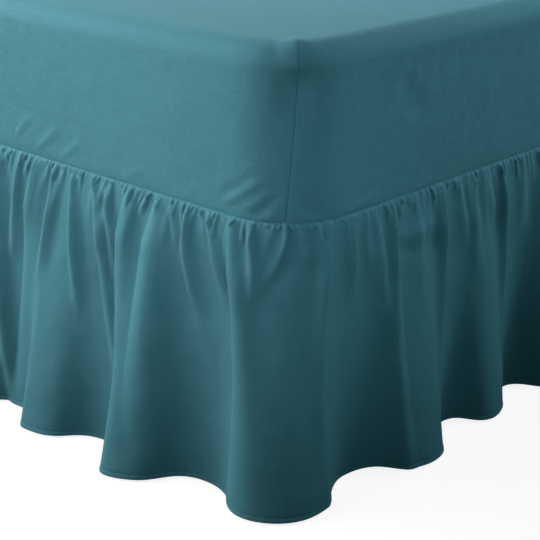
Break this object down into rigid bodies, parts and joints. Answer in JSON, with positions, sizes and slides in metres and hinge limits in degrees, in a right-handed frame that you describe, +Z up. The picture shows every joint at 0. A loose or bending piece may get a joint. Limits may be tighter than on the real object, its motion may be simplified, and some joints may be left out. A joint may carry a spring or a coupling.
{
  "type": "fitted valance bed skirt on a mattress and divan base",
  "caption": "Fitted bed cover with corner darts and a gathered floor-length frill on both long sides and the foot, over a plain mattress and divan base on feet.",
  "frame": {"origin": "on the floor, at the middle of the whole outline, hem folds included", "axes": "+Z up; +Y towards the head of the bed, where there is no frill; -Y towards the foot; +X towards the right long side seen from the foot"},
  "size_m": [1.6321, 1.9888, 0.6623],
  "materials": {
    "cover_cloth": "matt plain-woven polyester cotton, teal",
    "frill_cloth": "matt plain-woven polyester cotton, teal, gathered",
    "mattress_ticking": "plain off-white ticking",
    "base_cloth": "plain grey woven upholstery cloth",
    "foot_plastic": "black moulded plastic"
  },
  "bodies": {
    "root": {"fitted_cover": "cover_cloth", "frill": "frill_cloth", "mattress": "mattress_ticking", "bed_base": "base_cloth", "foot_left_foot_end": "foot_plastic", "foot_left_middle": "foot_plastic", "foot_left_head_end": "foot_plastic", "foot_right_foot_end": "foot_plastic", "foot_right_middle": "foot_plastic", "foot_right_head_end": "foot_plastic"}
  },
  "joints": []
}
